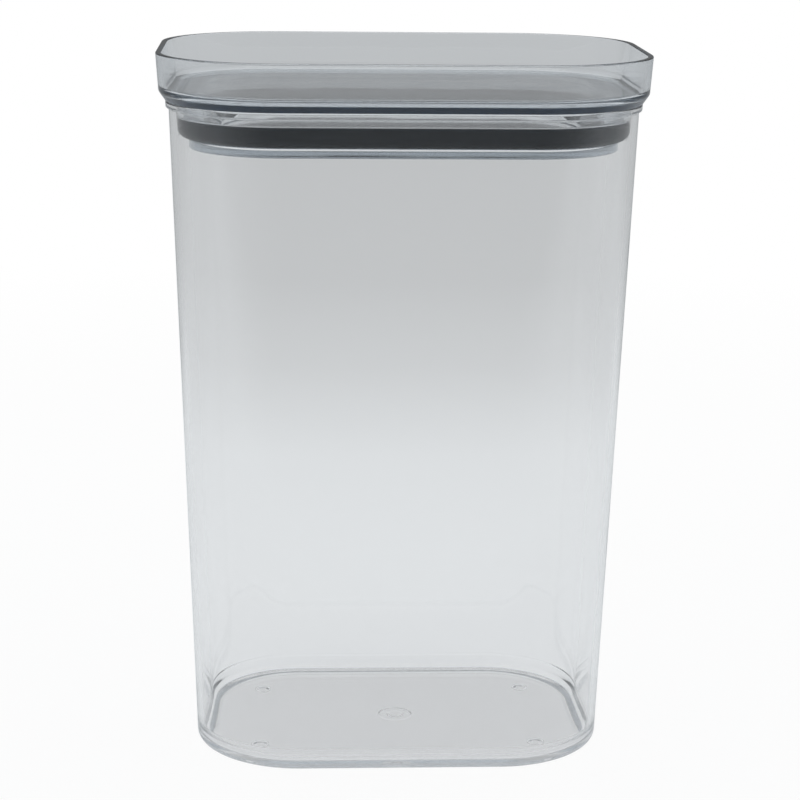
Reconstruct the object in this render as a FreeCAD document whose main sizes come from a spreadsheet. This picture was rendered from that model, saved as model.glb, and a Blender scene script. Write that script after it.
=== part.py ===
"""Clear airtight storage container: a tapered tub with a lift-off lid and a soft seal ring.

Millimetres, +Z up, origin on the surface that the tub stands on, below its centre.
The broad front faces -Y. Every outline is a rounded rectangle about the Z axis.
"""
import FreeCAD, Part
import math
import os
import Sketcher

from FreeCAD import Placement, Rotation, Vector

SIZES = {
    # Tub: outside at the underside and at the rim, below the bead
    "base_width": 140.2,
    "base_depth": 97.8,
    "base_corner": 36.0,
    "rim_width": 155.0,
    "rim_depth": 112.6,
    "rim_corner": 37.0,
    "body_height": 224.4,
    "wall": 2.2,
    "floor_thickness": 1.7,
    "floor_fillet": 5.4,
    "base_round": 1.8,
    "rim_round": 0.6,
    # Bead that stiffens the tub's rim
    "bead_height": 2.3,
    "bead_out": 1.0,
    "bead_round": 0.7,
    # Four moulded feet and the gate mark under the floor
    "foot_diameter": 6.0,
    "foot_height": 0.5,
    "foot_spread_x": 96.0,
    "foot_spread_y": 52.6,
    "gate_diameter": 12.5,
    "gate_depth": 0.5,
    "nub_diameter": 6.5,
    "nub_height": 0.3,
    # Lid tray: heights above the rim, and how far its turn and its top edge stand out past the tub
    "turn_height": 3.2,
    "turn_out": 3.2,
    "turn_round": 2.4,
    "tray_height": 15.6,
    "top_out": 4.1,
    "tray_wall": 1.9,
    "tray_floor_height": 2.8,
    "tray_floor": 2.0,
    "tray_fillet": 2.5,
    "top_round": 0.7,
    # Skirt that centres the lid in the mouth
    "skirt_depth": 4.9,
    "skirt_wall": 2.0,
    "skirt_clearance": 0.35,
    # Seal carrier under the tray
    "carrier_clearance": 0.15,
    "carrier_wall": 2.0,
    "flange_inset": 4.2,
    "flange_height": 3.4,
    "flange_round": 0.6,
    "neck_inset": 6.8,
    # Seal ring in the groove between skirt and flange
    "seal_height": 6.9,
    "seal_clearance": 0.25,
    "seal_seat": 0.15,
    "seal_low_round": 3.6,
    "seal_top_round": 1.2,
}

SHEET = "Sizes"
LEVEL_TOLERANCE = 1e-4

doc = FreeCAD.newDocument("storage_container")
sheet = doc.addObject("Spreadsheet::Sheet", SHEET)
for row, (alias, value) in enumerate(SIZES.items(), start=1):
    sheet.set(f"A{row}", alias)
    sheet.set(f"B{row}", str(value))
    sheet.setAlias(f"B{row}", alias)
doc.recompute()


def size(alias):
    """Expression that reads one driving size."""
    return f"{SHEET}.{alias}"


FLOOR_LEVEL = f"({size('foot_height')} + {size('floor_thickness')})"
RIM_LEVEL = size("body_height")
BEAD_LEVEL = f"({RIM_LEVEL} - {size('bead_height')})"
SKIRT_LEVEL = f"({RIM_LEVEL} - {size('skirt_depth')})"
GROOVE_LEVEL = f"({SKIRT_LEVEL} - {size('seal_height')})"
FLANGE_LEVEL = f"({GROOVE_LEVEL} - {size('flange_height')})"
TURN_LEVEL = f"({RIM_LEVEL} + {size('turn_height')})"
TRAY_LEVEL = f"({RIM_LEVEL} + {size('tray_floor_height')})"
CEILING_LEVEL = f"({TRAY_LEVEL} - {size('tray_floor')})"
TOP_LEVEL = f"({RIM_LEVEL} + {size('tray_height')})"


def tub_outside(side, level):
    """Expression of the tub's outer width, depth or corner radius at a level."""
    low = size(f"base_{side}")
    high = size(f"rim_{side}")
    rise = f"(({level}) - {size('foot_height')}) / ({RIM_LEVEL} - {size('foot_height')})"
    return f"({low} + ({high} - {low}) * {rise})"


def tub_outline(level, inset="0"):
    """Width, depth and corner of the tub's outside at a level, with every side moved in by an inset."""
    width, depth, corner = (tub_outside(side, level) for side in ("width", "depth", "corner"))
    return f"{width} - 2 * ({inset})", f"{depth} - 2 * ({inset})", f"{corner} - ({inset})"


def new_body(label):
    """Empty solid body of one sub-part."""
    body = doc.addObject("PartDesign::Body", label)
    body.Label = label
    body.Placement = Placement()
    return body


def new_sketch(body, name, level):
    """Sketch that lies level in a body at a height."""
    plane = next(part for part in body.Origin.OriginFeatures if part.Role == "XY_Plane")
    sketch = body.newObject("Sketcher::SketchObject", f"{body.Label}_{name}")
    sketch.AttachmentSupport = [(plane, "")]
    sketch.MapMode = "FlatFace"
    sketch.AttachmentOffset = Placement(Vector(0, 0, 0), Rotation())
    sketch.setExpression("AttachmentOffset.Base.z", level)
    return sketch


def add_dimension(sketch, kind, places, name, expression):
    """Named dimension of a sketch, bound to an expression of the sheet."""
    start = {"width": "base_width", "depth": "base_depth", "corner": "base_corner"}
    value = SIZES[start.get(name, "foot_diameter")]
    index = sketch.addConstraint(Sketcher.Constraint(kind, *places, value))
    sketch.renameConstraint(index, name)
    sketch.setExpression(f"Constraints.{name}", expression)


def rounded_rectangle(body, name, level, outline):
    """Closed rounded rectangle, centred on the Z axis, at a level."""
    sketch = new_sketch(body, name, level)
    half_x = SIZES["base_width"] / 2
    half_y = SIZES["base_depth"] / 2
    radius = SIZES["base_corner"]
    core_x = half_x - radius
    core_y = half_y - radius
    lines = (
        (Vector(-core_x, -half_y, 0), Vector(core_x, -half_y, 0)),
        (Vector(half_x, -core_y, 0), Vector(half_x, core_y, 0)),
        (Vector(core_x, half_y, 0), Vector(-core_x, half_y, 0)),
        (Vector(-half_x, core_y, 0), Vector(-half_x, -core_y, 0)),
    )
    corners = ((core_x, -core_y), (core_x, core_y), (-core_x, core_y), (-core_x, -core_y))
    for start, end in lines:
        sketch.addGeometry(Part.LineSegment(start, end))
    for index, (x, y) in enumerate(corners):
        first = (index - 1) * math.pi / 2
        circle = Part.Circle(Vector(x, y, 0), Vector(0, 0, 1), radius)
        sketch.addGeometry(Part.ArcOfCircle(circle, first, first + math.pi / 2))
    for line in range(4):
        arc = 4 + line
        following = (line + 1) % 4
        sketch.addConstraint(Sketcher.Constraint("Tangent", line, 2, arc, 1))
        sketch.addConstraint(Sketcher.Constraint("Tangent", arc, 2, following, 1))
    for line, kind in enumerate(("Horizontal", "Vertical", "Horizontal", "Vertical")):
        sketch.addConstraint(Sketcher.Constraint(kind, line))
    for arc in (4, 5, 6):
        sketch.addConstraint(Sketcher.Constraint("Equal", arc, arc + 1))
    sketch.addConstraint(Sketcher.Constraint("Symmetric", 4, 3, 6, 3, -1, 1))
    width, depth, corner = outline
    add_dimension(sketch, "DistanceX", (3, 1, 1, 1), "width", width)
    add_dimension(sketch, "DistanceY", (0, 1, 2, 1), "depth", depth)
    add_dimension(sketch, "Radius", (4,), "corner", corner)
    return sketch


def centre_circle(body, name, level, diameter):
    """Circle on the Z axis at a level."""
    sketch = new_sketch(body, name, level)
    sketch.addGeometry(Part.Circle(Vector(0, 0, 0), Vector(0, 0, 1), SIZES["foot_diameter"] / 2))
    sketch.addConstraint(Sketcher.Constraint("Coincident", 0, 3, -1, 1))
    add_dimension(sketch, "Diameter", (0,), "diameter", diameter)
    return sketch


def four_circles(body, name, level, diameter, spread_x, spread_y):
    """Four equal circles at the corners of a centred rectangle."""
    sketch = new_sketch(body, name, level)
    x = SIZES["foot_spread_x"] / 2
    y = SIZES["foot_spread_y"] / 2
    for place in ((x, y), (-x, y), (-x, -y), (x, -y)):
        circle = Part.Circle(Vector(*place, 0), Vector(0, 0, 1), SIZES["foot_diameter"] / 2)
        sketch.addGeometry(circle)
    for other in (1, 2, 3):
        sketch.addConstraint(Sketcher.Constraint("Equal", 0, other))
    sketch.addConstraint(Sketcher.Constraint("Symmetric", 0, 3, 2, 3, -1, 1))
    sketch.addConstraint(Sketcher.Constraint("Symmetric", 0, 3, 1, 3, -2))
    sketch.addConstraint(Sketcher.Constraint("Symmetric", 0, 3, 3, 3, -1))
    add_dimension(sketch, "DistanceX", (1, 3, 0, 3), "across", spread_x)
    add_dimension(sketch, "DistanceY", (3, 3, 0, 3), "along", spread_y)
    add_dimension(sketch, "Diameter", (0,), "diameter", diameter)
    return sketch


def loft(body, name, kind, sketches):
    """Additive or subtractive loft with straight sides through level outlines, top one first."""
    feature = body.newObject(f"PartDesign::{kind}Loft", f"{body.Label}_{name}")
    feature.Profile = sketches[0]
    feature.Sections = sketches[1:]
    feature.Ruled = True
    doc.recompute()
    return feature


def extrude(body, name, kind, sketch, length, downward=False):
    """Pad or Pocket of a level sketch, upward unless told otherwise."""
    feature = body.newObject(f"PartDesign::{kind}", f"{body.Label}_{name}")
    feature.Profile = sketch
    feature.setExpression("Length", length)
    cuts_down = kind == "Pocket"
    feature.Reversed = downward != cuts_down
    doc.recompute()
    return feature


def level_edges(feature, level, outer=None):
    """Names of a feature's level edges at a height: all, the outer or the inner outline."""
    height = float(feature.evalExpression(level))
    found = []
    for index, edge in enumerate(feature.Shape.Edges, start=1):
        box = edge.BoundBox
        if abs(box.ZMin - height) < LEVEL_TOLERANCE and abs(box.ZMax - height) < LEVEL_TOLERANCE:
            reach = max(abs(box.XMin), abs(box.XMax)), max(abs(box.YMin), abs(box.YMax))
            found.append((f"Edge{index}", reach))
    if outer is None:
        return [name for name, reach in found]
    widest = max(reach[0] for name, reach in found)
    deepest = max(reach[1] for name, reach in found)
    rim = [
        name
        for name, reach in found
        if widest - reach[0] < LEVEL_TOLERANCE or deepest - reach[1] < LEVEL_TOLERANCE
    ]
    return rim if outer else [name for name, reach in found if name not in rim]


def round_edges(body, name, feature, edges, radius):
    """Fillet on named edges of a feature."""
    fillet = body.newObject("PartDesign::Fillet", f"{body.Label}_{name}")
    fillet.Base = (feature, edges)
    fillet.setExpression("Radius", radius)
    doc.recompute()
    return fillet


def make_container_body():
    """Tapered tub with a beaded rim, rounded inside corners, four feet and a gate mark."""
    body = new_body("container_body")
    wall = size("wall")
    base = rounded_rectangle(body, "base", size("foot_height"), tub_outline(size("foot_height")))
    rim = rounded_rectangle(body, "rim", RIM_LEVEL, tub_outline(RIM_LEVEL))
    form = loft(body, "outside", "Additive", [rim, base])
    form = round_edges(body, "base_round", form, level_edges(form, size("foot_height")), size("base_round"))

    bead_out = size("bead_out")
    bead_sketch = rounded_rectangle(body, "bead", BEAD_LEVEL, tub_outline(RIM_LEVEL, f"-{bead_out}"))
    form = extrude(body, "bead_pad", "Pad", bead_sketch, size("bead_height"))
    form = round_edges(
        body, "bead_round", form, level_edges(form, BEAD_LEVEL, outer=True), size("bead_round")
    )

    floor = rounded_rectangle(body, "floor", FLOOR_LEVEL, tub_outline(FLOOR_LEVEL, wall))
    mouth = rounded_rectangle(body, "mouth", RIM_LEVEL, tub_outline(RIM_LEVEL, wall))
    form = loft(body, "inside", "Subtractive", [mouth, floor])
    form = round_edges(body, "floor_fillet", form, level_edges(form, FLOOR_LEVEL), size("floor_fillet"))
    form = round_edges(body, "rim_round", form, level_edges(form, RIM_LEVEL), size("rim_round"))

    feet = four_circles(
        body, "feet", "0", size("foot_diameter"), size("foot_spread_x"), size("foot_spread_y")
    )
    extrude(body, "feet_pad", "Pad", feet, f"{size('foot_height')} + {size('floor_thickness')} / 2")
    gate = centre_circle(body, "gate", size("foot_height"), size("gate_diameter"))
    extrude(body, "gate_recess", "Pocket", gate, size("gate_depth"))
    nub_level = f"{size('foot_height')} + {size('gate_depth')} - {size('nub_height')}"
    nub = centre_circle(body, "nub", nub_level, size("nub_diameter"))
    extrude(body, "nub_pad", "Pad", nub, f"{size('nub_height')} + {size('floor_thickness')} / 4")
    return body


def make_lid_tray():
    """Lid with a tall flared wall round a stacking tray, and a skirt that centres it."""
    body = new_body("lid_tray")
    turn_out = size("turn_out")
    top_out = size("top_out")
    seat = rounded_rectangle(body, "seat", RIM_LEVEL, tub_outline(RIM_LEVEL, f"-{size('bead_out')}"))
    turn = rounded_rectangle(body, "turn", TURN_LEVEL, tub_outline(RIM_LEVEL, f"-{turn_out}"))
    top = rounded_rectangle(body, "top", TOP_LEVEL, tub_outline(RIM_LEVEL, f"-{top_out}"))
    form = loft(body, "outside", "Additive", [top, turn, seat])
    form = round_edges(body, "turn_round", form, level_edges(form, TURN_LEVEL), size("turn_round"))

    wall = size("tray_wall")
    tray = rounded_rectangle(body, "tray", TRAY_LEVEL, tub_outline(RIM_LEVEL, f"{wall} - {turn_out}"))
    brim = rounded_rectangle(body, "brim", TOP_LEVEL, tub_outline(RIM_LEVEL, f"{wall} - {top_out}"))
    form = loft(body, "recess", "Subtractive", [brim, tray])
    form = round_edges(body, "tray_fillet", form, level_edges(form, TRAY_LEVEL), size("tray_fillet"))
    form = round_edges(body, "top_round", form, level_edges(form, TOP_LEVEL), size("top_round"))

    skirt_inset = f"{size('wall')} + {size('skirt_clearance')}"
    skirt = rounded_rectangle(body, "skirt", SKIRT_LEVEL, tub_outline(SKIRT_LEVEL, skirt_inset))
    extrude(body, "skirt_pad", "Pad", skirt, f"{CEILING_LEVEL} - {SKIRT_LEVEL}")
    hollow_inset = f"{skirt_inset} + {size('skirt_wall')}"
    hollow = rounded_rectangle(body, "hollow", SKIRT_LEVEL, tub_outline(SKIRT_LEVEL, hollow_inset))
    extrude(body, "hollow_cut", "Pocket", hollow, f"{CEILING_LEVEL} - {SKIRT_LEVEL}")
    return body


def make_lid_plug():
    """Seal carrier: a stepped pan whose collar sits in the skirt and whose flange holds the seal."""
    body = new_body("lid_plug")
    flange_inset = f"{size('wall')} + {size('flange_inset')}"
    flange = rounded_rectangle(body, "flange", FLANGE_LEVEL, tub_outline(SKIRT_LEVEL, flange_inset))
    form = extrude(body, "flange_pad", "Pad", flange, size("flange_height"))
    form = round_edges(
        body, "flange_round", form, level_edges(form, FLANGE_LEVEL), size("flange_round")
    )

    neck_inset = f"{size('wall')} + {size('neck_inset')}"
    neck = rounded_rectangle(body, "neck", GROOVE_LEVEL, tub_outline(SKIRT_LEVEL, neck_inset))
    extrude(body, "neck_pad", "Pad", neck, f"{SKIRT_LEVEL} - {GROOVE_LEVEL}")

    collar_inset = (
        f"{size('wall')} + {size('skirt_clearance')} + {size('skirt_wall')} + {size('carrier_clearance')}"
    )
    collar = rounded_rectangle(body, "collar", SKIRT_LEVEL, tub_outline(SKIRT_LEVEL, collar_inset))
    extrude(body, "collar_pad", "Pad", collar, f"{CEILING_LEVEL} - {SKIRT_LEVEL}")

    pan_inset = f"{neck_inset} + {size('carrier_wall')}"
    pan_level = f"({FLANGE_LEVEL} + {size('carrier_wall')})"
    pan = rounded_rectangle(body, "pan", pan_level, tub_outline(SKIRT_LEVEL, pan_inset))
    extrude(body, "pan_cut", "Pocket", pan, f"{CEILING_LEVEL} - {pan_level}")
    return body


def make_seal_ring():
    """Soft ring that fills the groove and bulges towards the tub's wall."""
    body = new_body("seal_ring")
    face_inset = f"{size('wall')} + {size('seal_clearance')}"
    face = rounded_rectangle(body, "face", GROOVE_LEVEL, tub_outline(GROOVE_LEVEL, face_inset))
    form = extrude(body, "ring_pad", "Pad", face, size("seal_height"))
    form = round_edges(
        body, "low_round", form, level_edges(form, GROOVE_LEVEL), size("seal_low_round")
    )
    form = round_edges(body, "top_round", form, level_edges(form, SKIRT_LEVEL), size("seal_top_round"))
    seat_inset = f"{size('wall')} + {size('neck_inset')} - {size('seal_seat')}"
    seat = rounded_rectangle(body, "seat", GROOVE_LEVEL, tub_outline(SKIRT_LEVEL, seat_inset))
    extrude(body, "seat_cut", "Pocket", seat, size("seal_height"))
    return body


bodies = [make_container_body(), make_lid_tray(), make_lid_plug(), make_seal_ring()]
doc.recompute()

for item in doc.Objects:
    if "Invalid" in item.State or "Error" in item.State:
        raise RuntimeError(f"{item.Label} failed: {item.State}")
for body in bodies:
    if body.Shape.isNull() or not body.Shape.isValid() or len(body.Shape.Solids) != 1:
        raise RuntimeError(f"{body.Label} is not one valid solid")

os.makedirs("parts", exist_ok=True)
for body in bodies:
    body.Shape.exportStep(f"parts/{body.Label}.step")
    box = body.Shape.BoundBox
    print(f"{body.Label}: {body.Shape.Volume:.0f} mm3, z {box.ZMin:.2f} to {box.ZMax:.2f}")
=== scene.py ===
"""Clear airtight storage container: looks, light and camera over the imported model."""

import math

import bmesh
import bpy
from mathutils import Matrix, Vector


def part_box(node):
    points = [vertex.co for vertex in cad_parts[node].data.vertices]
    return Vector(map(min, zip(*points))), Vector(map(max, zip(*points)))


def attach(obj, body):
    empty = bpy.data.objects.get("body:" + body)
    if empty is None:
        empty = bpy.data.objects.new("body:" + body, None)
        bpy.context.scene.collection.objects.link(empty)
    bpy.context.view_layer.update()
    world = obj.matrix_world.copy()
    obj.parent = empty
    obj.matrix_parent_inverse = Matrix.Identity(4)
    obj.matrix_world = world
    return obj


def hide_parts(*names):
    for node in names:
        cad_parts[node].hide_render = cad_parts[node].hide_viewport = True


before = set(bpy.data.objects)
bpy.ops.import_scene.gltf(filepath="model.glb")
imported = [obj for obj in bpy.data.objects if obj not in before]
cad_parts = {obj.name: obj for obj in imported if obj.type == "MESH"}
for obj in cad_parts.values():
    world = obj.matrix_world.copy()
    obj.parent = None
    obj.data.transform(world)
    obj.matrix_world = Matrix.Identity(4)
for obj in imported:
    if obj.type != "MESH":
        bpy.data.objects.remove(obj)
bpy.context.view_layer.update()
scene = bpy.context.scene

MM = 0.001

# Levels and reach of the pieces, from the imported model
TUB_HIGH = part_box("container_body")[1]
TRAY_LOW, TRAY_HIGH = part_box("lid_tray")
PLUG_LOW, PLUG_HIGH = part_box("lid_plug")
SEAL_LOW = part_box("seal_ring")[0]
RIM_LEVEL = TUB_HIGH[2]
TOP_LEVEL = TRAY_HIGH[2]
SKIRT_LEVEL = TRAY_LOW[2]
CEILING_LEVEL = PLUG_HIGH[2]
FLANGE_LEVEL = PLUG_LOW[2]
GROOVE_LEVEL = SEAL_LOW[2]

# Tub
WALL = 2.2 * MM
BEAD_OUT = 1.0 * MM
BEAD_HEIGHT = 2.3 * MM
BEAD_ROUND = 0.56 * MM
RIM_ROUND = 0.6 * MM
BASE_ROUND = 2.5 * MM
FOOT_HEIGHT = 0.5 * MM
FLOOR_THICKNESS = 1.7 * MM
FLOOR_LEVEL = FOOT_HEIGHT + FLOOR_THICKNESS
FLOOR_FILLET = 5.292 * MM
LEDGE = 0.25 * MM
LEDGE_RISE = 5.4 * MM
LEDGE_LEVEL = FLOOR_LEVEL + LEDGE_RISE

# Half width, half depth and corner radius of the tub's outside, at the base and at the rim
BASE_OUTLINE = (70.1 * MM, 48.9 * MM, 36.0 * MM)
RIM_OUTLINE = (TUB_HIGH[0] - BEAD_OUT, TUB_HIGH[1] - BEAD_OUT, 37.0 * MM)

# Marks under the tub's floor
FOOT_RADIUS = 3.0 * MM
FOOT_PLACE = (48.0 * MM, 26.3 * MM)
FOOT_ROUND = 0.2 * MM
DIMPLE_RADIUS = 2.6 * MM
DIMPLE_CEILING = 1.3 * MM
DIMPLE_DEPTH = 1.1 * MM
DIMPLE_ROUND = 0.15 * MM
GATE_RADIUS = 6.25 * MM
GATE_DEPTH = 0.4 * MM
GATE_SLOPE = 0.8 * MM
GATE_ROUND = 0.1 * MM
NUB_RADIUS = 3.25 * MM
NUB_HEIGHT = 0.3 * MM

# Tray of the lid
TURN_RISE = 3.2 * MM
TURN_LEVEL = RIM_LEVEL + TURN_RISE
TURN_OUT = 3.2 * MM
TURN_ROUND = 2.4 * MM
TOP_OUT = TRAY_HIGH[0] - RIM_OUTLINE[0]
TOP_ROUND = 0.4 * MM
TRAY_WALL = 1.9 * MM
TRAY_FLOOR = 2.0 * MM
TRAY_LEVEL = CEILING_LEVEL + TRAY_FLOOR
TRAY_FILLET = 2.5 * MM

# Pieces in the mouth: a gap is from the tub's inside, an inset from its outside
SKIRT_GAP = 0.35 * MM
SKIRT_INSET = WALL + SKIRT_GAP
SKIRT_WALL = 2.0 * MM
COLLAR_CLEARANCE = 0.15 * MM
FLANGE_GAP = 4.2 * MM
FLANGE_INSET = WALL + FLANGE_GAP
FLANGE_ROUND = 0.7 * MM
NECK_GAP = 6.8 * MM
NECK_INSET = WALL + NECK_GAP
CARRIER_WALL = 2.0 * MM
PAN_ROUND = 1.05 * MM
SEAL_GAP = 0.25 * MM
SEAL_INSET = WALL + SEAL_GAP
SEAL_CLEARANCE = 0.15 * MM
SEAL_SEAT = NECK_INSET - SEAL_CLEARANCE
SEAL_LOW_ROUND = 3.6 * MM
SEAL_TOP_ROUND = 1.2 * MM

# Hair of air left where two pieces rest on each other
SEAT_GAP = 0.04 * MM

# Fineness of the meshes, and the places where flat ends are closed by a cap
EDGE_ROUND = 0.35 * MM
CORNER_STEPS = 40
ROUND_STEPS = 8
TURNED_STEPS = 64
HALF_FACET = 0.5
CAP_INSET = 14.0 * MM
CAP_SHARE = 0.25
SHARP_ANGLE = math.radians(40)
STRONG_FACE_WEIGHT = 100


def add_object(name, data):
    """New object in the scene."""
    made = bpy.data.objects.new(name, data)
    scene.collection.objects.link(made)
    return made


def rounded_path(corners, closed=False):
    """Section line through (out, level, radius) corners, each corner rounded by its radius."""
    path = []
    count = len(corners)
    for index, (out, level, radius) in enumerate(corners):
        here = Vector((out, level))
        is_end = not closed and index in (0, count - 1)
        if is_end or radius == 0:
            path.append(here)
            continue
        before = Vector(corners[index - 1][:2]) - here
        after = Vector(corners[(index + 1) % count][:2]) - here
        before.normalize()
        after.normalize()
        half_angle = before.angle(after) / 2
        reach = radius / math.tan(half_angle)
        centre = here + (before + after).normalized() * (radius / math.sin(half_angle))
        start = here + before * reach - centre
        end = here + after * reach - centre
        turn = start.angle_signed(end)
        for step in range(ROUND_STEPS + 1):
            angle = -turn * step / ROUND_STEPS
            spoke = Vector((
                start.x * math.cos(angle) - start.y * math.sin(angle),
                start.x * math.sin(angle) + start.y * math.cos(angle),
            ))
            path.append(centre + spoke)
    return path


def tub_outline(level):
    """Half width, half depth and corner radius of the tub's outside at a level."""
    rise = (level - FOOT_HEIGHT) / (RIM_LEVEL - FOOT_HEIGHT)
    return [low + (high - low) * rise for low, high in zip(BASE_OUTLINE, RIM_OUTLINE)]


def upright(outline):
    """An outline that stays the same at every level, for pieces that don't taper."""
    return lambda level: outline


def outline_points(outline, out, level):
    """Points of a rounded rectangle at a level, every side moved outward."""
    half_x, half_y, radius = (size + out for size in outline)
    points = []
    for corner, (side_x, side_y) in enumerate(((1, 1), (-1, 1), (-1, -1), (1, -1))):
        centre_x = side_x * (half_x - radius)
        centre_y = side_y * (half_y - radius)
        for step in range(CORNER_STEPS + 1):
            angle = (corner + step / CORNER_STEPS) * math.pi / 2
            x = centre_x + radius * math.cos(angle)
            y = centre_y + radius * math.sin(angle)
            points.append((x, y, level))
    return points


def mesh_from_loops(name, loops, closed):
    """Mesh through loops of points, capped at both ends unless the last loop joins the first."""
    shape = bmesh.new()
    rings = [[shape.verts.new(point) for point in loop] for loop in loops]
    count = len(rings[0])
    pairs = list(zip(rings, rings[1:]))
    if closed:
        pairs.append((rings[-1], rings[0]))
    else:
        shape.faces.new(rings[0])
        shape.faces.new(rings[-1])
    for low, high in pairs:
        for index in range(count):
            following = (index + 1) % count
            shape.faces.new((low[index], low[following], high[following], high[index]))
    bmesh.ops.recalc_face_normals(shape, faces=shape.faces)
    mesh = bpy.data.meshes.new(name)
    shape.to_mesh(mesh)
    shape.free()
    return mesh


def swept(name, section, outline_at, closed=False):
    """Object whose section of (out, level, rounding) corners runs round a rounded rectangle."""
    path = rounded_path(section, closed)
    loops = [outline_points(outline_at(point.y), point.x, point.y) for point in path]
    return add_object(name, mesh_from_loops(name, loops, closed))


def turned(name, section, place=(0.0, 0.0), facet_shift=0.0):
    """Object turned about an upright axis from (radius, level, rounding) corners.

    facet_shift turns its facets by that share of one facet.
    """
    loops = []
    for point in rounded_path(section):
        loop = []
        for step in range(TURNED_STEPS):
            angle = (step + facet_shift) / TURNED_STEPS * 2 * math.pi
            x = place[0] + point.x * math.cos(angle)
            y = place[1] + point.x * math.sin(angle)
            loop.append((x, y, point.y))
        loops.append(loop)
    return add_object(name, mesh_from_loops(name, loops, closed=False))


def merge(piece, tools, operation):
    """Joins or cuts a piece with tool objects and deletes them."""
    for tool in tools:
        step = piece.modifiers.new(tool.name, "BOOLEAN")
        step.operation = operation
        step.solver = "EXACT"
        step.object = tool
    seen = piece.evaluated_get(bpy.context.evaluated_depsgraph_get())
    merged = bpy.data.meshes.new_from_object(seen)
    piece.modifiers.clear()
    plain = piece.data
    piece.data = merged
    bpy.data.meshes.remove(plain)
    for tool in tools:
        bpy.data.objects.remove(tool)


def finish_piece(piece, node, body, material):
    """Smooth shading, material and place in the frame."""
    mesh = piece.data
    mesh.name = piece.name
    mesh.polygons.foreach_set("use_smooth", [True] * len(mesh.polygons))
    mesh.set_sharp_from_angle(angle=SHARP_ANGLE)
    weights = piece.modifiers.new("even_normals", "WEIGHTED_NORMAL")
    weights.keep_sharp = True
    weights.weight = STRONG_FACE_WEIGHT
    mesh.materials.clear()
    mesh.materials.append(material)
    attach(piece, body)
    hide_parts(node)


def make_foot(place):
    """Foot that reaches from the rest plane into the floor."""
    middle = (FOOT_HEIGHT + FLOOR_LEVEL) / 2
    return turned("foot", [
        (DIMPLE_RADIUS * CAP_SHARE, 0, 0),
        (FOOT_RADIUS, 0, FOOT_ROUND),
        (FOOT_RADIUS, middle, 0),
    ], place)


def make_dimple(place):
    """Cone that hollows a foot. It runs on below, and its facets lie between the foot's."""
    lean = (DIMPLE_RADIUS - DIMPLE_CEILING) / DIMPLE_DEPTH
    return turned("dimple", [
        (DIMPLE_RADIUS + lean * FOOT_HEIGHT, -FOOT_HEIGHT, 0),
        (DIMPLE_CEILING, DIMPLE_DEPTH, DIMPLE_ROUND),
        (DIMPLE_CEILING * CAP_SHARE, DIMPLE_DEPTH, 0),
    ], place, HALF_FACET)


def make_gate():
    """Hollow of the gate mark round a low nub. Its sloped side runs on below the floor."""
    lean = GATE_SLOPE / GATE_DEPTH
    ceiling = FOOT_HEIGHT + GATE_DEPTH
    return turned("gate", [
        (GATE_RADIUS + lean * FOOT_HEIGHT, 0, 0),
        (GATE_RADIUS - GATE_SLOPE, ceiling, GATE_ROUND),
        (NUB_RADIUS, ceiling, GATE_ROUND),
        (NUB_RADIUS - GATE_SLOPE, ceiling - NUB_HEIGHT, GATE_ROUND),
        (NUB_RADIUS * CAP_SHARE, ceiling - NUB_HEIGHT, 0),
    ])


def make_tub(material):
    """Tapered tub with a beaded rim, four dimpled feet and a gate mark."""
    section = [
        (-CAP_INSET, FOOT_HEIGHT, 0),
        (0, FOOT_HEIGHT, BASE_ROUND),
        (0, RIM_LEVEL - BEAD_HEIGHT, EDGE_ROUND),
        (BEAD_OUT, RIM_LEVEL - BEAD_HEIGHT, BEAD_ROUND),
        (BEAD_OUT, RIM_LEVEL, RIM_ROUND),
        (-WALL, RIM_LEVEL, RIM_ROUND),
        (-WALL, LEDGE_LEVEL + LEDGE, 0),
        (-WALL - LEDGE, LEDGE_LEVEL, 0),
        (-WALL - LEDGE, FLOOR_LEVEL, FLOOR_FILLET),
        (-CAP_INSET, FLOOR_LEVEL, 0),
    ]
    tub = swept("tub", section, tub_outline)
    sides = ((-1, -1), (-1, 1), (1, -1), (1, 1))
    places = [(side_x * FOOT_PLACE[0], side_y * FOOT_PLACE[1]) for side_x, side_y in sides]
    merge(tub, [make_foot(place) for place in places], "UNION")
    merge(tub, [make_gate()] + [make_dimple(place) for place in places], "DIFFERENCE")
    finish_piece(tub, "container_body", "container", material)


def make_tray(material):
    """Lid with a tall wall round a stacking tray, resting on the rim, with a skirt below."""
    lean = RIM_OUTLINE[0] - tub_outline(SKIRT_LEVEL)[0]
    skirt_out = -SKIRT_INSET - lean
    hollow_out = skirt_out - SKIRT_WALL
    seat = RIM_LEVEL + SEAT_GAP
    section = [
        (-CAP_INSET, CEILING_LEVEL, 0),
        (hollow_out, CEILING_LEVEL, EDGE_ROUND),
        (hollow_out, SKIRT_LEVEL, EDGE_ROUND),
        (skirt_out, SKIRT_LEVEL, EDGE_ROUND),
        (skirt_out, seat, EDGE_ROUND),
        (BEAD_OUT, seat, EDGE_ROUND),
        (TURN_OUT, TURN_LEVEL, TURN_ROUND),
        (TOP_OUT, TOP_LEVEL, TOP_ROUND),
        (TOP_OUT - TRAY_WALL, TOP_LEVEL, TOP_ROUND),
        (TURN_OUT - TRAY_WALL, TRAY_LEVEL, TRAY_FILLET),
        (-CAP_INSET, TRAY_LEVEL, 0),
    ]
    tray = swept("tray", section, upright(RIM_OUTLINE))
    finish_piece(tray, "lid_tray", "lid", material)


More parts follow.
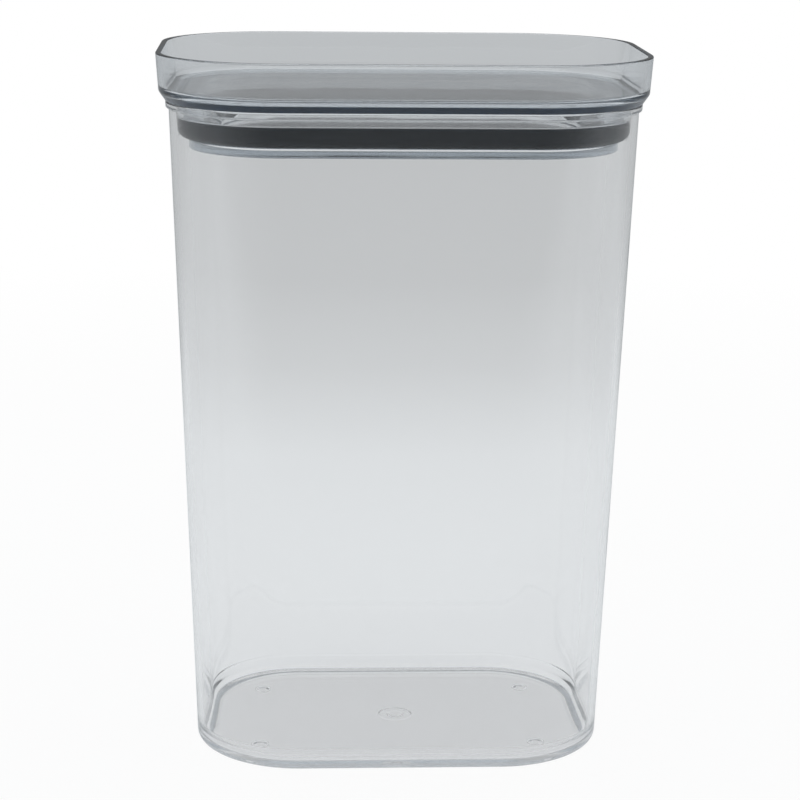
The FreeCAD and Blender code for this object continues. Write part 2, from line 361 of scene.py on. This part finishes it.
def make_plug(material):
    """Seal carrier: collar, neck and flange round a shallow pan."""
    top = CEILING_LEVEL - SEAT_GAP
    pan_level = FLANGE_LEVEL + CARRIER_WALL
    collar_inset = SKIRT_INSET + SKIRT_WALL + COLLAR_CLEARANCE
    pan_inset = NECK_INSET + CARRIER_WALL
    section = [
        (-pan_inset - CAP_INSET, FLANGE_LEVEL, 0),
        (-FLANGE_INSET, FLANGE_LEVEL, FLANGE_ROUND),
        (-FLANGE_INSET, GROOVE_LEVEL, EDGE_ROUND),
        (-NECK_INSET, GROOVE_LEVEL, EDGE_ROUND),
        (-NECK_INSET, SKIRT_LEVEL, EDGE_ROUND),
        (-collar_inset, SKIRT_LEVEL, EDGE_ROUND),
        (-collar_inset, top, EDGE_ROUND),
        (-pan_inset, top, EDGE_ROUND),
        (-pan_inset, pan_level, PAN_ROUND),
        (-pan_inset - CAP_INSET, pan_level, 0),
    ]
    plug = swept("plug", section, upright(tub_outline(SKIRT_LEVEL)))
    finish_piece(plug, "lid_plug", "lid", material)


def make_seal(material):
    """Soft ring in the groove, full at the top and drawn in towards the flange."""
    low = GROOVE_LEVEL + SEAT_GAP
    high = SKIRT_LEVEL - SEAT_GAP
    lean = tub_outline(SKIRT_LEVEL)[0] - tub_outline(GROOVE_LEVEL)[0]
    section = [
        (-SEAL_SEAT + lean, low, EDGE_ROUND),
        (-SEAL_INSET, low, SEAL_LOW_ROUND),
        (-SEAL_INSET, high, SEAL_TOP_ROUND),
        (-SEAL_SEAT + lean, high, EDGE_ROUND),
    ]
    seal = swept("seal", section, upright(tub_outline(GROOVE_LEVEL)), closed=True)
    finish_piece(seal, "seal_ring", "lid", material)


WHITE = (1.0, 1.0, 1.0, 1.0)
UNIT_RANGE = (0.0, 1.0)


def new_node(tree, kind, inputs, **settings):
    """Shader node with its settings made, and each input set to a value or linked to an output."""
    made = tree.nodes.new(kind)
    for name, value in settings.items():
        setattr(made, name, value)
    for key, value in inputs.items():
        if isinstance(value, bpy.types.NodeSocket):
            tree.links.new(value, made.inputs[key])
        else:
            made.inputs[key].default_value = value
    return made


def new_material(name):
    """Empty node material, its node tree and its output node."""
    material = bpy.data.materials.new(name)
    material.use_nodes = True
    tree = material.node_tree
    tree.nodes.clear()
    return material, tree, tree.nodes.new("ShaderNodeOutputMaterial")


def object_noise(tree, scale, detail):
    """Noise in the object's own coordinates, as a factor."""
    noise = new_node(tree, "ShaderNodeTexNoise", {
        "Vector": tree.nodes.new("ShaderNodeTexCoord").outputs["Object"],
        "Scale": scale,
        "Detail": detail,
    })
    return noise.outputs["Fac"]


def bumped(tree, height, distance, strength):
    """Normal of a surface that a height factor raises by up to a distance."""
    bump = new_node(tree, "ShaderNodeBump", {
        "Height": height,
        "Distance": distance,
        "Strength": strength,
    })
    return bump.outputs["Normal"]


def ranged(tree, value, source=UNIT_RANGE, target=UNIT_RANGE):
    """A value mapped from one (low, high) range to another."""
    mapped = new_node(tree, "ShaderNodeMapRange", {
        "Value": value,
        "From Min": source[0],
        "From Max": source[1],
        "To Min": target[0],
        "To Max": target[1],
    })
    return mapped.outputs["Result"]


def mixed(tree, factor, first, second):
    """Two shaders mixed by a factor."""
    return new_node(tree, "ShaderNodeMixShader", {0: factor, 1: first, 2: second}).outputs["Shader"]


# Plastic: each noise is (scale, detail), and the densities tint long paths through each piece
PLASTIC_IOR = 1.53
PLASTIC_DEPTH_COLOUR = (0.16, 0.30, 0.42, 1.0)
TUB_DEPTH_DENSITY = 1.0
TRAY_DEPTH_DENSITY = 40.0
PLUG_DEPTH_DENSITY = 8.5
PLASTIC_ROUGHNESS = (0.004, 0.03)
PLASTIC_HAZE_NOISE = (160.0, 4.0)
PLASTIC_WAVE_NOISE = (45.0, 1.0)
PLASTIC_WAVE_HEIGHT = 0.03 * MM
PLASTIC_WAVE_STRENGTH = 1.0
SHADOW_TINT = (0.995, 0.995, 1.0, 1.0)


def make_plastic(name, density):
    """Clear moulded plastic: slightly wavy, faintly hazed, and letting lamps through."""
    material, tree, output = new_material(name)
    haze = object_noise(tree, *PLASTIC_HAZE_NOISE)
    wave = object_noise(tree, *PLASTIC_WAVE_NOISE)
    clear = new_node(tree, "ShaderNodeBsdfPrincipled", {
        "Base Color": WHITE,
        "Roughness": ranged(tree, haze, target=PLASTIC_ROUGHNESS),
        "IOR": PLASTIC_IOR,
        "Transmission Weight": 1.0,
        "Normal": bumped(tree, wave, PLASTIC_WAVE_HEIGHT, PLASTIC_WAVE_STRENGTH),
    })
    through = new_node(tree, "ShaderNodeBsdfTransparent", {"Color": SHADOW_TINT})
    shadow = tree.nodes.new("ShaderNodeLightPath").outputs["Is Shadow Ray"]
    surface = mixed(tree, shadow, clear.outputs["BSDF"], through.outputs["BSDF"])
    depth = new_node(tree, "ShaderNodeVolumeAbsorption", {
        "Color": PLASTIC_DEPTH_COLOUR,
        "Density": density,
    })
    tree.links.new(surface, output.inputs["Surface"])
    tree.links.new(depth.outputs["Volume"], output.inputs["Volume"])
    return material


# Rubber of the seal: each noise is (scale, detail)
SEAL_DARK = (0.004, 0.006, 0.010, 1.0)
SEAL_LIGHT = (0.007, 0.011, 0.017, 1.0)
SEAL_SPECULAR = 0.3
SEAL_SPECULAR_TINT = (0.75, 0.9, 1.0, 1.0)
SEAL_ROUGHNESS = (0.42, 0.6)
SEAL_CLOUD_NOISE = (60.0, 3.0)
SEAL_GRAIN_NOISE = (900.0, 2.0)
SEAL_GRAIN_HEIGHT = 0.003 * MM
SEAL_GRAIN_STRENGTH = 0.6

# Places of the colour sockets on a Mix node
MIX_COLOUR_A = 6
MIX_COLOUR_B = 7
MIX_COLOUR_RESULT = 2


def make_rubber(name):
    """Dark satin silicone with a fine grain and faint clouding."""
    material, tree, output = new_material(name)
    cloud = object_noise(tree, *SEAL_CLOUD_NOISE)
    grain = object_noise(tree, *SEAL_GRAIN_NOISE)
    shade = new_node(tree, "ShaderNodeMix", {
        "Factor": cloud,
        MIX_COLOUR_A: SEAL_DARK,
        MIX_COLOUR_B: SEAL_LIGHT,
    }, data_type="RGBA")
    rubber = new_node(tree, "ShaderNodeBsdfPrincipled", {
        "Base Color": shade.outputs[MIX_COLOUR_RESULT],
        "Roughness": ranged(tree, cloud, target=SEAL_ROUGHNESS),
        "Specular IOR Level": SEAL_SPECULAR,
        "Specular Tint": SEAL_SPECULAR_TINT,
        "Normal": bumped(tree, grain, SEAL_GRAIN_HEIGHT, SEAL_GRAIN_STRENGTH),
    })
    tree.links.new(rubber.outputs["BSDF"], output.inputs["Surface"])
    return material


# Camera
CAMERA_PLACE = (-39.66 * MM, -776.08 * MM, 310.48 * MM)
CAMERA_PITCH = math.radians(13.91)
CAMERA_YAW = math.radians(2.97)
CAMERA_ROLL = math.radians(0.66)
CAMERA_FOCUS_PIXELS = 2297.7
CAMERA_NEAR = 10.0 * MM
IMAGE_PIXELS = 800
SENSOR_WIDTH = 36.0


def make_camera():
    """Camera at the photograph's viewing angle, fitted to the rim, sides, base edge and floor marks."""
    camera = add_object("camera", bpy.data.cameras.new("camera"))
    camera.data.sensor_fit = "HORIZONTAL"
    camera.data.sensor_width = SENSOR_WIDTH
    camera.data.lens = CAMERA_FOCUS_PIXELS / IMAGE_PIXELS * SENSOR_WIDTH
    camera.data.clip_start = CAMERA_NEAR
    forward = Vector((
        math.sin(CAMERA_YAW) * math.cos(CAMERA_PITCH),
        math.cos(CAMERA_YAW) * math.cos(CAMERA_PITCH),
        -math.sin(CAMERA_PITCH),
    ))
    level_right = Vector((math.cos(CAMERA_YAW), -math.sin(CAMERA_YAW), 0))
    level_up = level_right.cross(forward)
    right = level_right * math.cos(CAMERA_ROLL) + level_up * math.sin(CAMERA_ROLL)
    up = level_up * math.cos(CAMERA_ROLL) - level_right * math.sin(CAMERA_ROLL)
    turn = Matrix((right, up, -forward)).transposed()
    camera.matrix_world = Matrix.Translation(CAMERA_PLACE) @ turn.to_4x4()
    scene.camera = camera


COOL_TINT = (0.97, 1.0, 1.02)

# Shares of plain white that rays get from the world and the floor
WHITE_SHARE_SEEN_THROUGH = 0.25
WHITE_SHARE_MIRRORED = 0.05
WORLD_WHITE_SHARE = 1.0

# The camera's share of white on the floor rises with the distance from the part, in metres
FLOOR_WHITE_SHARES = (0.93, 1.0)
SHADOW_REACH = (0.12, 0.9)

# Tones of the world by a direction's Z, and their strengths by its Y
WORLD_TONES = ((-1.0, 0.35), (0.0, 0.35), (0.24, 0.4), (0.6, 0.6), (1.0, 0.75))
WORLD_STRENGTHS = ((-1.0, 0.2), (0.2, 1.0), (0.68, 1.0), (0.92, 0.5), (1.0, 0.44))

# Painted shade on the floor: tones by Y in metres, from the camera's side to the far side, darker
# towards the camera and in a band behind the part, standing in for light falling off
FLOOR_SIZE = 8.0
FLOOR_PAINTED_SHADE_TONES = (
    (-1.1, 0.22),
    (-0.25, 0.86),
    (0.36, 0.84),
    (0.56, 0.66),
    (0.83, 0.6),
    (1.3, 0.68),
    (3.0, 0.84),
)


def white_factor(tree, camera_share):
    """Share of plain white for a ray: the camera's own, and less through gloss and plastic."""
    rays = tree.nodes.new("ShaderNodeLightPath")
    shares = (
        ("Is Glossy Ray", WHITE_SHARE_MIRRORED),
        ("Is Transmission Ray", WHITE_SHARE_SEEN_THROUGH),
        ("Is Camera Ray", camera_share),
    )
    total = 0.0
    for ray, share in shares:
        terms = {0: rays.outputs[ray], 1: share, 2: total}
        total = new_node(tree, "ShaderNodeMath", terms, operation="MULTIPLY_ADD").outputs["Value"]
    return total


def tone_ramp(tree, value, tones):
    """Cool grey ramp through (value, tone) stops."""
    first = tones[0][0]
    last = tones[-1][0]
    ramp = new_node(tree, "ShaderNodeValToRGB", {"Fac": ranged(tree, value, source=(first, last))})
    stops = ramp.color_ramp.elements
    while len(stops) < len(tones):
        stops.new(1.0)
    for stop, (place, tone) in zip(stops, tones):
        stop.position = (place - first) / (last - first)
        stop.color = [tone * part for part in COOL_TINT] + [1.0]
    return ramp.outputs["Color"]


def make_world():
    """Soft studio light, paler overhead, that the camera sees as plain white."""
    world = bpy.data.worlds.new("studio")
    scene.world = world
    world.use_nodes = True
    tree = world.node_tree
    tree.nodes.clear()
    output = tree.nodes.new("ShaderNodeOutputWorld")
    direction = tree.nodes.new("ShaderNodeTexCoord").outputs["Generated"]
    parts = new_node(tree, "ShaderNodeSeparateXYZ", {"Vector": direction})
    studio = new_node(tree, "ShaderNodeBackground", {
        "Color": tone_ramp(tree, parts.outputs["Z"], WORLD_TONES),
        "Strength": tone_ramp(tree, parts.outputs["Y"], WORLD_STRENGTHS),
    })
    white = new_node(tree, "ShaderNodeBackground", {"Color": WHITE})
    factor = white_factor(tree, WORLD_WHITE_SHARE)
    surface = mixed(tree, factor, studio.outputs["Background"], white.outputs["Background"])
    tree.links.new(surface, output.inputs["Surface"])


def make_paper():
    """Pale paper with painted shade, darker towards the camera and in a band behind the part, that the
    camera sees as near white with a soft shadow.
    """
    material, tree, output = new_material("pale_floor")
    place = tree.nodes.new("ShaderNodeTexCoord").outputs["Object"]
    parts = new_node(tree, "ShaderNodeSeparateXYZ", {"Vector": place})
    # Painted shade: the paper's colour follows Y, darker towards the camera and in a band behind the
    # part, as light falling off would make it
    paper = new_node(tree, "ShaderNodeBsdfDiffuse", {
        "Color": tone_ramp(tree, parts.outputs["Y"], FLOOR_PAINTED_SHADE_TONES),
    })
    away = new_node(tree, "ShaderNodeVectorMath", {"Vector": place}, operation="LENGTH")
    share = ranged(tree, away.outputs["Value"], SHADOW_REACH, FLOOR_WHITE_SHARES)
    white = new_node(tree, "ShaderNodeEmission", {"Color": WHITE})
    factor = white_factor(tree, share)
    surface = mixed(tree, factor, paper.outputs["BSDF"], white.outputs["Emission"])
    tree.links.new(surface, output.inputs["Surface"])
    return material


def make_floor(material):
    """Flat floor that the part stands on."""
    shape = bmesh.new()
    bmesh.ops.create_grid(shape, x_segments=1, y_segments=1, size=FLOOR_SIZE / 2)
    mesh = bpy.data.meshes.new("floor")
    shape.to_mesh(mesh)
    shape.free()
    mesh.materials.append(material)
    floor = add_object("floor", mesh)


# Soft boxes: name, place and size in metres, power in watts, and whether gloss mirrors the box
LAMPS = (
    ("left_box", (-0.9, -0.7, 1.0), (0.35, 0.9), 4.5, False),
    ("right_box", (1.1, -0.4, 0.9), (0.35, 0.9), 3.0, False),
    ("top_box", (0.0, 0.1, 1.6), (1.2, 0.9), 4.0, True),
)
LAMP_AIM = (0.0, 0.0, 0.11)


def make_lamps():
    """Soft boxes at the left, right and overhead, none of them seen through the plastic."""
    for name, place, size, power, mirrored in LAMPS:
        lamp = add_object(name, bpy.data.lights.new(name, "AREA"))
        lamp.data.shape = "RECTANGLE"
        lamp.data.size, lamp.data.size_y = size
        lamp.data.energy = power
        lamp.visible_glossy = mirrored
        lamp.visible_transmission = False
        lamp.location = place
        aim = Vector(LAMP_AIM) - Vector(place)
        lamp.rotation_euler = aim.to_track_quat("-Z", "Y").to_euler()


# Light that is caught in the plastic turns many times before it comes out at a rim
LIGHT_BOUNCES = 128


def main():
    """Builds the four pieces, then the studio round them."""
    make_tub(make_plastic("clear_tub_plastic", TUB_DEPTH_DENSITY))
    make_tray(make_plastic("clear_tray_plastic", TRAY_DEPTH_DENSITY))
    make_plug(make_plastic("clear_plug_plastic", PLUG_DEPTH_DENSITY))
    make_seal(make_rubber("dark_silicone"))
    make_camera()
    make_world()
    make_floor(make_paper())
    make_lamps()
    scene.view_settings.view_transform = "Standard"
    scene.cycles.max_bounces = LIGHT_BOUNCES
    scene.cycles.transmission_bounces = LIGHT_BOUNCES
    scene.cycles.glossy_bounces = LIGHT_BOUNCES
    scene.cycles.transparent_max_bounces = LIGHT_BOUNCES


main()
